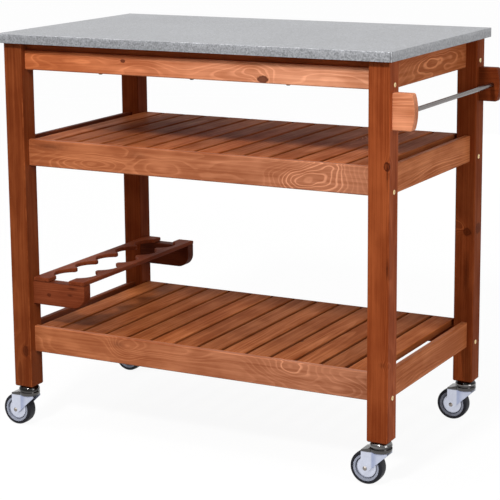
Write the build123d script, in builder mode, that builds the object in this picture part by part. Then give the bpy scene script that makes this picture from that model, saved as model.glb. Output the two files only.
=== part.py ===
from build123d import *
import os

# Barbecue side cart: four posts on swivel casters carry two slatted shelves, a bottle rack,
# a towel bar and a wooden top under a folded metal sheet.
# +Z is up and the floor is Z = 0. The long front side faces -Y and the towel bar is at +X.
# The origin lies on the floor, under the middle of the outer box.

# Posts
frame_width = 955.0
frame_depth = 545.0
post_size = 48.0
post_length = 812.0
post_easing = 3.0
post_end_bevel = 2.5

# Casters
wheel_diameter = 75.0
wheel_width = 24.0
caster_height = 100.0
caster_trail = 30.0
tyre_depth = 7.5
tyre_shoulder = 4.0
tread_crown = 0.8
rim_depth = 5.0
rim_width = 23.0
web_width = 15.0
hub_radius = 8.0
cap_radius = 22.5
cap_depth = 3.0
cap_dish = 1.2
axle_radius = 3.0
axle_head_radius = 5.0
axle_head_height = 1.8
axle_head_flat = 2.5
running_clearance = 0.06
side_play = 0.4
fork_sheet = 2.3
fork_play = 1.2
leg_step = 2.2
leg_front_reach = 6.5
leg_slope_run = 13.0
fork_eye_radius = 9.3
fork_bend = 3.0
fork_front_reach = 20.0
fork_front_drop = 28.5
crown_slope_run = 17.5
crown_slope_rise = 4.0
wheel_top_clearance = 1.8
race_radius = 24.5
race_rim_height = 3.5
race_groove_depth = 4.0
race_bowl_radius = 17.0
race_bowl_height = 8.0
race_bowl_bulge = 1.4
cup_top_radius = 17.0
cup_height = 12.0
cup_rim_height = 3.0
cup_bulge = 1.4
race_gap = 0.3
pin_radius = 5.0
pin_head_radius = 8.0
pin_head_height = 2.0
stem_radius = 5.5
stem_length = 42.0
stem_tip = 1.5
socket_wall = 2.0
socket_flange_radius = 11.0
socket_flange_thickness = 1.5

# Rails, all measured in from the posts' outer faces
rail_height = 61.5
rail_thickness = 15.0
rail_setback = 20.0
side_rail_setback = 14.0
top_rail_height = 44.0
top_rail_thickness = 24.0
top_rail_setback = 15.0
top_rail_drop = 18.5
apron_height = 68.0
apron_thickness = 20.0
apron_setback = 27.0
rail_easing = 2.0

# Shelves: the height of the slats' tops above the posts' lower ends
lower_shelf_height = 146.0
middle_shelf_height = 588.5
slat_width = 52.0
slat_gap = 9.0
slat_end_gap = 5.0
slat_thickness = 15.0
slat_easing = 1.5
slat_joint = 0.3
slat_rear_inset = 4.0
cleat_size = 20.0
cleat_end_gap = 25.0

# Top
top_overhang_side = 10.0
top_overhang_front = 15.0
board_thickness = 19.0
board_clearance = 0.5
sheet_thickness = 1.0
sheet_bend = 1.5
sheet_return = 8.0
batten_thickness = 18.0
batten_setback = 8.0

# Bottle rack, on the two left posts
rack_height = 200.0
rack_reach = 140.0
rack_bracket_height = 55.0
rack_bracket_thickness = 28.0
rack_corner_radius = 30.0
rack_rail_width = 42.0
rack_rail_thickness = 9.5
rack_rail_end_gap = 1.0
bottle_count = 5
bottle_pitch = 90.0
bottle_radius = 44.0
bottle_depth = 25.0
tooth_round = 4.5
rack_edge_round = 1.5

# Towel bar, on the two right posts
towel_drop = 66.5
towel_bracket_height = 77.0
towel_bracket_reach = 49.0
towel_bracket_bow = 6.0
towel_bracket_thickness = 22.0
towel_corner_round = 5.0
towel_edge_round = 1.5
bar_radius = 5.0
bar_reach = 32.0
bar_seat_depth = 12.0
bar_fit = 0.1

# Fasteners
frame_screw_radius = 2.5
frame_screw_length = 80.0
frame_screw_head = 5.2
frame_screw_dome = 1.2
frame_screw_sink = 2.6
frame_screw_height = 11.0
frame_screw_inset = 27.0
top_screw_radius = 2.0
top_screw_bite = 14.0
top_screw_head = 5.0
top_screw_dome = 3.0
top_screw_spacing = 234.0
cleat_screw_radius = 1.8
cleat_screw_bite = 10.0
cleat_screw_head = 3.6
cleat_screw_dome = 0.4
cleat_screw_sink = 1.8
cleat_screw_inset = 54.5
bracket_screw_bite = 36.0
bracket_screw_margin = 15.0
screw_fit = 0.1
hole_relief = 1.0
dowel_radius = 4.0
dowel_depth = 20.0
dowel_end_gap = 0.5
dowel_fit = 0.05
side_dowel_drop = 15.5
side_dowel_spacing = 22.0
front_dowel_height = 36.0

# Places worked out from the sizes above
wheel_radius = wheel_diameter / 2
post_base = caster_height
post_top = post_base + post_length
caster_reach = caster_trail + wheel_radius - post_size / 2
left_reach = max(top_overhang_side, caster_reach)
right_reach = max(top_overhang_side, towel_bracket_reach)
centre_x = (left_reach - right_reach) / 2
rear_rail_height = rail_height - slat_thickness
sides = {"left": -1, "right": 1}
ends = {"front": -1, "rear": 1}
shelves = {"lower": post_base + lower_shelf_height, "middle": post_base + middle_shelf_height}


def side_x(side, inset):
    """X of a point that lies inset from the posts' outer face on one side."""
    return centre_x + side * (frame_width / 2 - inset)


def end_y(end, inset):
    """Y of a point that lies inset from the posts' outer face at one end."""
    return end * (frame_depth / 2 - inset)


def finish(builder, name):
    """Label a finished piece and write it."""
    builder.part.label = name
    export_step(builder.part, f"parts/{name}.step")


def plain_bar(x_low, x_high, y_low, y_high, z_low, z_high, easing):
    """A straight planed bar with eased long edges."""
    along = Axis.X if x_high - x_low > y_high - y_low else Axis.Y
    middle = ((x_low + x_high) / 2, (y_low + y_high) / 2, z_low)
    with BuildPart() as bar:
        with BuildSketch(Plane(middle)):
            Rectangle(x_high - x_low, y_high - y_low)
        extrude(amount=z_high - z_low)
        chamfer(bar.edges().filter_by(along), length=easing)
    return bar.part


def turned_screw(shank_radius, length, head_radius, dome, sink):
    """A screw along -Z with its seat at Z = 0: a cone sunk below it and a dome above it."""
    with BuildPart() as screw:
        with BuildSketch(Plane.XZ):
            with BuildLine():
                Polyline(
                    (0, dome),
                    (0, -length),
                    (shank_radius, shank_radius - length),
                    (shank_radius, -sink),
                    (head_radius, 0),
                )
                TangentArc((0, dome), (head_radius, 0), tangent=(1, 0))
            make_face()
        revolve(axis=Axis.Z)
    return screw.part


def facing(x, y, z, direction):
    """A plane at a point, whose Z axis points along a direction."""
    return Plane((x, y, z), z_dir=direction)


# Where the screws and dowels go
def rail_levels(name):
    """The bottom and top of a front or rear rail, by its name."""
    if name == "top":
        top = post_top - top_rail_drop
        return top - top_rail_height, top
    return shelves[name] - rail_height, shelves[name]


frame_screw_places = []
front_dowel_places = []
for level in ("top", "middle", "lower"):
    rail_low = rail_levels(level)[0]
    for end in ends.values():
        for side in sides.values():
            y = end_y(end, frame_screw_inset)
            frame_screw_places.append(facing(side_x(side, 0), y, rail_low + frame_screw_height, (side, 0, 0)))
            front_dowel_places.append(
                facing(side_x(side, post_size), y, rail_low + front_dowel_height, (-side, 0, 0))
            )

side_dowel_places = []
for setback, thickness, top in (
    (apron_setback, apron_thickness, post_top),
    (side_rail_setback, rail_thickness, shelves["middle"]),
    (side_rail_setback, rail_thickness, shelves["lower"]),
):
    for drop in (side_dowel_drop, side_dowel_drop + side_dowel_spacing):
        for end in ends.values():
            for side in sides.values():
                x = side_x(side, setback + thickness / 2)
                side_dowel_places.append(facing(x, end_y(end, post_size), top - drop, (0, -end, 0)))
dowel_places = front_dowel_places + side_dowel_places

rack_base = post_base + rack_height
rack_top = rack_base + rack_bracket_height
rack_bracket_inset = post_size - rack_bracket_thickness / 2
rack_screw_places = [
    facing(side_x(-1, 0), end_y(end, rack_bracket_inset), z, (-1, 0, 0))
    for end in ends.values()
    for z in (rack_base + bracket_screw_margin, rack_top - bracket_screw_margin)
]

towel_top = post_top - towel_drop
towel_base = towel_top - towel_bracket_height
towel_middle = (towel_top + towel_base) / 2
towel_bracket_inset = post_size / 2
towel_screw_places = [
    facing(side_x(1, post_size), end_y(end, towel_bracket_inset), z, (-1, 0, 0))
    for end in ends.values()
    for z in (towel_base + bracket_screw_margin, towel_top - bracket_screw_margin)
]
bracket_screw_length = post_size + bracket_screw_bite
post_screw_places = frame_screw_places + rack_screw_places + towel_screw_places

caster_places = {
    f"{end_name}_{side_name}": (side_x(side, post_size / 2), end_y(end, post_size / 2))
    for end_name, end in ends.items()
    for side_name, side in sides.items()
}

top_screw_inset = top_rail_setback + top_rail_thickness / 2
top_screw_places = [
    facing(x, end_y(end, top_screw_inset), rail_levels("top")[0], (0, 0, -1))
    for end in ends.values()
    for x in (centre_x - top_screw_spacing, centre_x, centre_x + top_screw_spacing)
]

rail_x_low = side_x(-1, post_size)
rail_x_high = side_x(1, post_size)
cleat_x_low = rail_x_low + cleat_end_gap
cleat_x_high = rail_x_high - cleat_end_gap
cleat_y = end_y(-1, rail_setback + rail_thickness)
cleat_screw_drop = slat_thickness + cleat_size / 2
cleat_screw_places = [
    facing(x, cleat_y + cleat_size, top - cleat_screw_drop, (0, 1, 0))
    for top in shelves.values()
    for x in (cleat_x_low + cleat_screw_inset, centre_x, cleat_x_high - cleat_screw_inset)
]



def near(places, x, y):
    """The places that lie on the post whose middle is at x, y."""
    return [p for p in places if abs(p.origin.X - x) < post_size and abs(p.origin.Y - y) < post_size]


def upward(places, z):
    """The same places in plan at another height, drilled upwards."""
    return [facing(p.origin.X, p.origin.Y, z, (0, 0, -1)) for p in places]


os.makedirs("parts", exist_ok=True)

# Posts, drilled for the screws, the dowels and the caster sockets
socket_radius = stem_radius + socket_wall
for name, (x, y) in caster_places.items():
    with BuildPart() as post:
        with BuildSketch(Plane((x, y, post_base))):
            Rectangle(post_size, post_size)
        extrude(amount=post_length)
        fillet(post.edges().filter_by(Axis.Z), radius=post_easing)
        chamfer(post.faces().sort_by(Axis.Z)[0].edges(), length=post_end_bevel)
        with Locations(*near(post_screw_places, x, y)):
            CounterSinkHole(frame_screw_radius + screw_fit, frame_screw_head + screw_fit, depth=post_size)
        with Locations(*near(dowel_places, x, y)):
            Hole(dowel_radius + dowel_fit, depth=dowel_depth)
        with Locations(facing(x, y, post_base, (0, 0, -1))):
            CounterBoreHole(
                socket_radius, socket_flange_radius, socket_flange_thickness, depth=stem_length + stem_tip
            )
    finish(post, f"post_{name}")

# Sockets for the caster stems
with BuildPart() as socket:
    with BuildSketch(Plane.XZ):
        with BuildLine():
            Polyline(
                (stem_radius, 0),
                (socket_flange_radius, 0),
                (socket_flange_radius, socket_flange_thickness),
                (socket_radius, socket_flange_thickness),
                (socket_radius, stem_length),
                (stem_radius, stem_length),
                close=True,
            )
        make_face()
    revolve(axis=Axis.Z)
with BuildPart() as stem_sockets:
    with Locations(*[(x, y, post_base) for x, y in caster_places.values()]):
        add(socket.part)
finish(stem_sockets, "stem_sockets")

# Front and rear rails: the top ones, and one at each shelf. A rear shelf rail is lower by a
# slat's thickness, because the slats lie on it.
rail_sections = {
    "top": (top_rail_setback, top_rail_thickness),
    "middle": (rail_setback, rail_thickness),
    "lower": (rail_setback, rail_thickness),
}
for level, (setback, thickness) in rail_sections.items():
    rail_low, rail_high = rail_levels(level)
    for end_name, end in ends.items():
        under_slats = level != "top" and end_name == "rear"
        top = rail_low + rear_rail_height if under_slats else rail_high
        y_low, y_high = sorted((end_y(end, setback), end_y(end, setback + thickness)))
        with BuildPart() as rail:
            add(plain_bar(rail_x_low, rail_x_high, y_low, y_high, rail_low, top, rail_easing))
            for side in sides.values():
                x = side_x(side, post_size)
                y = end_y(end, frame_screw_inset)
                with Locations(facing(x, y, rail_low + frame_screw_height, (side, 0, 0))):
                    Hole(frame_screw_radius + screw_fit, depth=frame_screw_length - post_size + hole_relief)
                with Locations(facing(x, y, rail_low + front_dowel_height, (side, 0, 0))):
                    Hole(dowel_radius + dowel_fit, depth=dowel_depth)
            if level == "top":
                own = [p for p in top_screw_places if p.origin.Y * end > 0]
                with Locations(*own):
                    Hole(top_screw_radius + screw_fit, depth=top_rail_height)
            elif end_name == "front":
                own = [p for p in cleat_screw_places if rail_low < p.origin.Z < rail_high]
                with Locations(*own):
                    Hole(cleat_screw_radius + screw_fit, depth=cleat_size + cleat_screw_bite + hole_relief)
        finish(rail, f"{level}_rail_{end_name}")

# Side rails at the shelves and aprons under the top, between the front and rear posts
side_y_low = end_y(-1, post_size)
side_y_high = end_y(1, post_size)
side_rails = (
    ("apron", apron_setback, apron_thickness, post_top, apron_height),
    ("middle_rail", side_rail_setback, rail_thickness, shelves["middle"], rail_height),
    ("lower_rail", side_rail_setback, rail_thickness, shelves["lower"], rail_height),
)
for rail_name, setback, thickness, top, height in side_rails:
    for side_name, side in sides.items():
        x_low, x_high = sorted((side_x(side, setback), side_x(side, setback + thickness)))
        with BuildPart() as side_rail:
            add(plain_bar(x_low, x_high, side_y_low, side_y_high, top - height, top, rail_easing))
            for end in ends.values():
                for drop in (side_dowel_drop, side_dowel_drop + side_dowel_spacing):
                    place = facing((x_low + x_high) / 2, end_y(end, post_size), top - drop, (0, end, 0))
                    with Locations(place):
                        Hole(dowel_radius + dowel_fit, depth=dowel_depth)
        finish(side_rail, f"{rail_name}_{side_name}")

# Dowels, half in the post and half in the rail
with BuildPart() as rail_dowels:
    with Locations(*dowel_places):
        Cylinder(dowel_radius, 2 * (dowel_depth - dowel_end_gap))
finish(rail_dowels, "rail_dowels")

# Cleats behind the front shelf rails, under the slats' front ends
cleat_y_high = cleat_y + cleat_size
with BuildPart() as slat_cleats:
    for top in shelves.values():
        z_high = top - slat_thickness
        z_low = z_high - cleat_size
        add(plain_bar(cleat_x_low, cleat_x_high, cleat_y, cleat_y_high, z_low, z_high, rail_easing))
    with Locations(*cleat_screw_places):
        CounterSinkHole(cleat_screw_radius + screw_fit, cleat_screw_head + screw_fit, depth=cleat_size)
finish(slat_cleats, "slat_cleats")

# Slats, from the front rail's inner face to the rear rail's top
slat_pitch = slat_width + slat_gap
slat_run = rail_x_high - rail_x_low - 2 * slat_end_gap
slat_count = int((slat_run + slat_gap) // slat_pitch)
slat_y_low = cleat_y + slat_joint
slat_y_high = end_y(1, rail_setback + slat_rear_inset)
for shelf_name, top in shelves.items():
    with BuildPart() as slats:
        with BuildSketch(Plane((centre_x, (slat_y_low + slat_y_high) / 2, top - slat_thickness))):
            with GridLocations(slat_pitch, 0, slat_count, 1):
                Rectangle(slat_width, slat_y_high - slat_y_low)
        extrude(amount=slat_thickness)
        chamfer(slats.faces().group_by(Axis.Z)[-1].edges(), length=slat_easing)
    finish(slats, f"{shelf_name}_slats")

# Top: a board on the posts, battens between it and the top rails, and a sheet folded round it
sheet_width = frame_width + 2 * top_overhang_side
sheet_depth = frame_depth + 2 * top_overhang_front
sheet_edge = board_thickness + 2 * sheet_thickness
with BuildPart() as top_sheet:
    with BuildSketch(Plane((centre_x, 0, post_top - sheet_thickness))):
        Rectangle(sheet_width, sheet_depth)
    extrude(amount=sheet_edge)
    outer_edges = top_sheet.edges().filter_by(Axis.Z) + top_sheet.faces().sort_by(Axis.Z)[-1].edges()
    fillet(outer_edges, radius=sheet_bend)
    with BuildSketch(Plane((centre_x, 0, post_top))):
        Rectangle(sheet_width - 2 * sheet_thickness, sheet_depth - 2 * sheet_thickness)
    extrude(amount=board_thickness, mode=Mode.SUBTRACT)
    with BuildSketch(Plane((centre_x, 0, post_top - sheet_thickness))):
        Rectangle(sheet_width - 2 * sheet_return, sheet_depth - 2 * sheet_return)
    extrude(amount=2 * sheet_thickness, mode=Mode.SUBTRACT)
finish(top_sheet, "top_sheet")

with BuildPart() as top_board:
    with BuildSketch(Plane((centre_x, 0, post_top))):
        board_inset = 2 * (sheet_thickness + board_clearance)
        Rectangle(sheet_width - board_inset, sheet_depth - board_inset)
    extrude(amount=board_thickness)
    with Locations(*upward(top_screw_places, post_top)):
        Hole(top_screw_radius + screw_fit, depth=top_screw_bite + hole_relief)
finish(top_board, "top_board")

top_rail_top = rail_levels("top")[1]
with BuildPart() as top_battens:
    for end in ends.values():
        inset = top_rail_setback + batten_setback
        y_low, y_high = sorted((end_y(end, inset), end_y(end, inset + batten_thickness)))
        add(plain_bar(rail_x_low, rail_x_high, y_low, y_high, top_rail_top, post_top, sheet_thickness))
    with Locations(*upward(top_screw_places, top_rail_top)):
        Hole(top_screw_radius + screw_fit, depth=top_rail_drop)
finish(top_battens, "top_battens")

# Bottle rack: brackets on the left posts carry two rails, whose scallops face each other
rack_x = side_x(-1, post_size)


def beyond_post(edge):
    """True for a bracket's edge that doesn't lie on its post."""
    return edge.center().X > rack_x + rack_edge_round


for end_name, end in ends.items():
    y_middle = end_y(end, rack_bracket_inset)
    with BuildPart() as rack_bracket:
        side_on = Plane((rack_x, y_middle, rack_base), x_dir=(1, 0, 0), z_dir=(0, -1, 0))
        with BuildSketch(side_on) as outline:
            Rectangle(rack_reach, rack_bracket_height, align=Align.MIN)
            lower_corner = outline.vertices().sort_by(Axis.Z)[:2].sort_by(Axis.X)[-1]
            fillet(lower_corner, radius=rack_corner_radius)
        extrude(amount=rack_bracket_thickness / 2, both=True)
        free_edges = rack_bracket.faces().filter_by(Axis.Y).edges().filter_by(beyond_post)
        chamfer(free_edges, length=rack_edge_round)
        for z in (rack_base + bracket_screw_margin, rack_top - bracket_screw_margin):
            with Locations(facing(rack_x, y_middle, z, (-1, 0, 0))):
                Hole(frame_screw_radius + screw_fit, depth=bracket_screw_bite + hole_relief)
    finish(rack_bracket, f"rack_bracket_{end_name}")

rack_y = end_y(1, rail_setback)
rack_length = 2 * rack_y
scallop_inset = bottle_radius - bottle_depth
rack_rails = {
    "outer": (rack_x + rack_rail_end_gap, rack_x + rack_rail_end_gap + rack_rail_width, 1),
    "inner": (rack_x + rack_reach - rack_rail_width, rack_x + rack_reach, -1),
}
for rail_name, (x_low, x_high, opens) in rack_rails.items():
    mouth_x = x_high if opens > 0 else x_low
    with BuildPart() as rack_rail:
        with BuildSketch(Plane.XY.offset(rack_top)) as outline:
            with Locations(((x_low + x_high) / 2, 0)):
                Rectangle(rack_rail_width, rack_length)
            with Locations((mouth_x + opens * scallop_inset, 0)):
                with GridLocations(0, bottle_pitch, 1, bottle_count):
                    Circle(bottle_radius, mode=Mode.SUBTRACT)
            mouth_corners = outline.vertices().group_by(Axis.X)[-1 if opens > 0 else 0]
            fillet(mouth_corners.sort_by(Axis.Y)[1:-1], radius=tooth_round)
        extrude(amount=rack_rail_thickness)
        chamfer(rack_rail.faces().filter_by(Axis.Z).edges(), length=rack_edge_round)
    finish(rack_rail, f"rack_rail_{rail_name}")

# Towel bar: two bowed brackets on the right posts hold the bar's ends in blind holes
towel_x = side_x(1, 0)
towel_half = towel_bracket_height / 2
towel_corner_reach = towel_bracket_reach - towel_bracket_bow


def beyond_right_post(edge):
    """True for a towel bracket's edge that doesn't lie on its post."""
    return edge.center().X > towel_x + towel_edge_round


for end_name, end in ends.items():
    y_middle = end_y(end, towel_bracket_inset)
    y_inner = y_middle - end * towel_bracket_thickness / 2
    with BuildPart() as towel_bracket:
        side_on = Plane((towel_x, y_middle, towel_middle), x_dir=(1, 0, 0), z_dir=(0, -1, 0))
        with BuildSketch(side_on) as outline:
            with BuildLine():
                Polyline(
                    (towel_corner_reach, towel_half),
                    (0, towel_half),
                    (0, -towel_half),
                    (towel_corner_reach, -towel_half),
                )
                ThreePointArc(
                    (towel_corner_reach, -towel_half),
                    (towel_bracket_reach, 0),
                    (towel_corner_reach, towel_half),
                )
            make_face()
            fillet(outline.vertices().group_by(Axis.X)[-1], radius=towel_corner_round)
        extrude(amount=towel_bracket_thickness / 2, both=True)
        free_edges = towel_bracket.faces().filter_by(Axis.Y).edges().filter_by(beyond_right_post)
        chamfer(free_edges, length=towel_edge_round)
        with Locations(facing(towel_x + bar_reach, y_inner, towel_middle, (0, -end, 0))):
            Hole(bar_radius + bar_fit, depth=bar_seat_depth)
        for z in (towel_base + bracket_screw_margin, towel_top - bracket_screw_margin):
            with Locations(facing(towel_x, y_middle, z, (-1, 0, 0))):
                Hole(frame_screw_radius + screw_fit, depth=bracket_screw_bite + hole_relief)
    finish(towel_bracket, f"towel_bracket_{end_name}")

bracket_inner = end_y(1, towel_bracket_inset) - towel_bracket_thickness / 2
bar_half = bracket_inner + bar_seat_depth - bar_fit
with BuildPart() as towel_bar:
    with BuildSketch(Plane((towel_x + bar_reach, 0, towel_middle), z_dir=(0, 1, 0))):
        Circle(bar_radius)
    extrude(amount=bar_half, both=True)
finish(towel_bar, "towel_bar")

# Screws: long ones through the posts, domed ones up through the top rails, short ones in the cleats
frame_screw = turned_screw(
    frame_screw_radius, frame_screw_length, frame_screw_head, frame_screw_dome, frame_screw_sink
)
with BuildPart() as frame_screws:
    with Locations(*frame_screw_places):
        add(frame_screw)
finish(frame_screws, "frame_screws")

bracket_screw = turned_screw(
    frame_screw_radius, bracket_screw_length, frame_screw_head, frame_screw_dome, frame_screw_sink
)
for name, places in (("rack_screws", rack_screw_places), ("towel_screws", towel_screw_places)):
    with BuildPart() as bracket_screws:
        with Locations(*places):
            add(bracket_screw)
    finish(bracket_screws, name)

top_screw_length = top_rail_height + top_rail_drop + top_screw_bite
top_screw = turned_screw(top_screw_radius, top_screw_length, top_screw_head, top_screw_dome, 0)
with BuildPart() as top_screws:
    with Locations(*top_screw_places):
        add(top_screw)
finish(top_screws, "top_screws")

cleat_screw = turned_screw(
    cleat_screw_radius, cleat_size + cleat_screw_bite, cleat_screw_head, cleat_screw_dome, cleat_screw_sink
)
with BuildPart() as cleat_screws:
    with Locations(*cleat_screw_places):
        add(cleat_screw)
finish(cleat_screws, "cleat_screws")

# Casters, each modelled at its post with the wheel trailing towards -X.
# The cup and stem stay with the post, the fork turns on the pin, the wheel turns on the axle.
fork_inner = wheel_width / 2 + fork_play
hub_half = fork_inner - side_play
crown_under = wheel_diameter + wheel_top_clearance
crown_edge = crown_under + fork_sheet
crown_top = crown_edge + crown_slope_rise
rim_top = crown_top + race_gap
rim_base = rim_top - race_rim_height
cup_base = post_base - cup_height
race_top = cup_base - race_gap
pin_base = crown_under - race_gap - pin_head_height
rim_radius = wheel_radius - tyre_depth
web_radius = rim_radius - rim_depth
web_half = web_width / 2
fork_half = fork_inner + fork_sheet
leg_half = fork_half + leg_step
eye_back = -caster_trail - fork_eye_radius
for name, (x, y) in caster_places.items():
    axle_x = x - caster_trail

    with BuildPart() as stem:
        with BuildSketch(Plane((x, y, 0), x_dir=(1, 0, 0), z_dir=(0, -1, 0))):
            with BuildLine():
                Polyline(
                    (0, post_base + stem_length),
                    (stem_radius - stem_tip, post_base + stem_length),
                    (stem_radius, post_base + stem_length - stem_tip),
                    (stem_radius, post_base),
                    (cup_top_radius, post_base),
                )
                SagittaArc((cup_top_radius, post_base), (race_radius, cup_base + cup_rim_height), cup_bulge)
                Polyline(
                    (race_radius, cup_base + cup_rim_height),
                    (race_radius, cup_base),
                    (pin_radius, cup_base),
                    (pin_radius, crown_under - race_gap),
                    (pin_head_radius, crown_under - race_gap),
                    (pin_head_radius - pin_head_height / 2, pin_base),
                    (0, pin_base),
                    (0, post_base + stem_length),
                )
            make_face()
        revolve(axis=Axis((x, y, 0), (0, 0, 1)))
    finish(stem, f"stem_{name}")

    side_on = Plane((x, y, 0), x_dir=(1, 0, 0), z_dir=(0, -1, 0))
    with BuildSketch(side_on) as fork_outline:
        with Locations((-caster_trail, wheel_radius)):
            Circle(fork_eye_radius)
        with BuildLine():
            Polyline(
                (eye_back, crown_edge),
                (eye_back + crown_slope_run, crown_top),
                (fork_front_reach - fork_bend, crown_top),
                (fork_front_reach, post_base - fork_front_drop),
                close=True,
            )
        make_face()
        make_hull(fork_outline.edges())

    # The legs are pressed outwards, with a slope in front where they meet the side plates
    with BuildPart() as legs:
        extrude(fork_outline.sketch, amount=leg_half, both=True)
        fillet(legs.edges().filter_by(Axis.Y, reverse=True).group_by(Axis.Z)[-1], radius=fork_bend)
        with BuildSketch(Plane((axle_x, y, 0))):
            with BuildLine():
                Polyline(
                    (-fork_eye_radius, -leg_half),
                    (leg_front_reach, -leg_half),
                    (leg_front_reach + leg_slope_run, -fork_half),
                    (leg_front_reach + leg_slope_run, fork_half),
                    (leg_front_reach, leg_half),
                    (-fork_eye_radius, leg_half),
                    close=True,
                )
            make_face()
        extrude(amount=crown_top, mode=Mode.INTERSECT)

    with BuildPart() as fork:
        extrude(fork_outline.sketch, amount=fork_half, both=True)
        upper_edges = fork.edges().filter_by(Axis.Y, reverse=True).group_by(Axis.Z)[-1]
        fillet(upper_edges, radius=fork_bend)
        add(legs.part)
        with BuildSketch(side_on):
            with BuildLine():
                Polyline(
                    (0, crown_under - fork_sheet),
                    (race_bowl_radius, rim_base - race_bowl_height),
                )
                SagittaArc(
                    (race_bowl_radius, rim_base - race_bowl_height), (race_radius, rim_base), -race_bowl_bulge
                )
                Polyline(
                    (race_radius, rim_base),
                    (race_radius, rim_top),
                    (race_radius - race_groove_depth, rim_top),
                    (race_radius - race_groove_depth, race_top),
                    (0, race_top),
                    (0, crown_under - fork_sheet),
                )
            make_face()
        revolve(axis=Axis((x, y, 0), (0, 0, 1)))
        with BuildSketch(Plane.XY.offset(crown_under)):
            with Locations((x - caster_trail / 2, y)):
                Rectangle(2 * caster_reach + wheel_diameter, 2 * fork_inner)
        extrude(amount=-crown_under, mode=Mode.SUBTRACT)
        with Locations((x, y, race_top)):
            Hole(pin_radius + running_clearance, depth=race_top - crown_under + hole_relief)
        with Locations(facing(axle_x, y + leg_half, wheel_radius, (0, 1, 0))):
            Hole(axle_radius + running_clearance, depth=2 * leg_half)
    finish(fork, f"fork_{name}")

    with BuildPart() as axle:
        with BuildSketch(Plane((axle_x, y, wheel_radius), x_dir=(0, 1, 0), z_dir=(1, 0, 0))):
            with BuildLine():
                Polyline(
                    (-leg_half - axle_head_height, 0),
                    (leg_half + axle_head_height, 0),
                    (leg_half + axle_head_height, axle_head_flat),
                    (leg_half, axle_head_radius),
                    (leg_half, axle_radius),
                    (-leg_half, axle_radius),
                    (-leg_half, axle_head_radius),
                    (-leg_half - axle_head_height, axle_head_flat),
                    close=True,
                )
            make_face()
        revolve(axis=Axis((axle_x, y, wheel_radius), (0, 1, 0)))
    finish(axle, f"axle_{name}")

    with BuildPart() as hub:
        with BuildSketch(Plane((axle_x, y, wheel_radius), x_dir=(0, 1, 0), z_dir=(1, 0, 0))):
            with Locations((0, (axle_radius + running_clearance + hub_radius) / 2)):
                Rectangle(2 * hub_half, hub_radius - axle_radius - running_clearance)
            with Locations((0, (hub_radius + web_radius) / 2)):
                Rectangle(web_width, web_radius - hub_radius)
            with Locations((0, (web_radius + rim_radius) / 2)):
                Rectangle(rim_width, rim_radius - web_radius)
        revolve(axis=Axis((axle_x, y, wheel_radius), (0, 1, 0)))
    finish(hub, f"hub_{name}")

    with BuildPart() as caps:
        with BuildSketch(Plane((axle_x, y, wheel_radius), x_dir=(0, 1, 0), z_dir=(1, 0, 0))):
            with BuildLine():
                Polyline(
                    (web_half, hub_radius),
                    (web_half + cap_depth, hub_radius),
                    (web_half + cap_depth, cap_radius - cap_depth),
                    (web_half + cap_depth - cap_dish, cap_radius),
                    (web_half, cap_radius),
                    close=True,
                )
            make_face()
            mirror(about=Plane.YZ)
        revolve(axis=Axis((axle_x, y, wheel_radius), (0, 1, 0)))
    finish(caps, f"caps_{name}")

    with BuildPart() as tyre:
        with BuildSketch(Plane((axle_x, y, wheel_radius), x_dir=(0, 1, 0), z_dir=(1, 0, 0))):
            with BuildLine():
                Polyline(
                    (-wheel_width / 2, wheel_radius - tread_crown),
                    (-wheel_width / 2, rim_radius),
                    (wheel_width / 2, rim_radius),
                    (wheel_width / 2, wheel_radius - tread_crown),
                )
                ThreePointArc(
                    (wheel_width / 2, wheel_radius - tread_crown),
                    (0, wheel_radius),
                    (-wheel_width / 2, wheel_radius - tread_crown),
                )
            make_face()
        revolve(axis=Axis((axle_x, y, wheel_radius), (0, 1, 0)))
        shoulders = tyre.edges().filter_by(GeomType.CIRCLE).sort_by(SortBy.RADIUS)[-2:]
        fillet(shoulders, radius=tyre_shoulder)
    finish(tyre, f"tyre_{name}")
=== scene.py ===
import math
from collections import namedtuple

import bpy
from bpy.props import FloatProperty, FloatVectorProperty, PointerProperty
from mathutils import Matrix, Quaternion, Vector


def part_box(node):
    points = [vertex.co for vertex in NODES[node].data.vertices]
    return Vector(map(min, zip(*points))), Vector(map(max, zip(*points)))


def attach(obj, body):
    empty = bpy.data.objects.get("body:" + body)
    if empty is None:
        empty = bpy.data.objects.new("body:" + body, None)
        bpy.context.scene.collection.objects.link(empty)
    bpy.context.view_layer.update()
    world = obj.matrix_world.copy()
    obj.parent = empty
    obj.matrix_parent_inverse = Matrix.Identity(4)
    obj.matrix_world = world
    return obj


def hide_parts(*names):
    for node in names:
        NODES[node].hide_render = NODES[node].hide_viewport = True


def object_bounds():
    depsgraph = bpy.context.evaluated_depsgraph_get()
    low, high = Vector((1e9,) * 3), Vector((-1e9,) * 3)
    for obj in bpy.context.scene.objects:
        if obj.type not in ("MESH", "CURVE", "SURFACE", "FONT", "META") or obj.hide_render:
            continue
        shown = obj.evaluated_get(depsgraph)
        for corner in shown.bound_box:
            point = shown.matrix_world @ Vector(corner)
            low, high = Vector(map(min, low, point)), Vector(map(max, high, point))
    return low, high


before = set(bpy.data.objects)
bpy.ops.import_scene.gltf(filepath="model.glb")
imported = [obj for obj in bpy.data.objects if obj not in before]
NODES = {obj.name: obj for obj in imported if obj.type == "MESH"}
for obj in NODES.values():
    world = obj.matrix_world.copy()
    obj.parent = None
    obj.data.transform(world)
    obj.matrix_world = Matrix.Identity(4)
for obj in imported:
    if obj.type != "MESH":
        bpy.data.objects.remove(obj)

cad_low, cad_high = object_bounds()

bl_info = {
    "name": "Barbecue side cart",
    "version": (1, 0, 0),
    "blender": (4, 5, 0),
    "location": "3D View > Sidebar > Cart",
    "description": "Dresses a wheeled timber side cart with a sheet metal top",
    "category": "Add Mesh",
}

CORNERS = ("front_left", "front_right", "rear_left", "rear_right")

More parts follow.
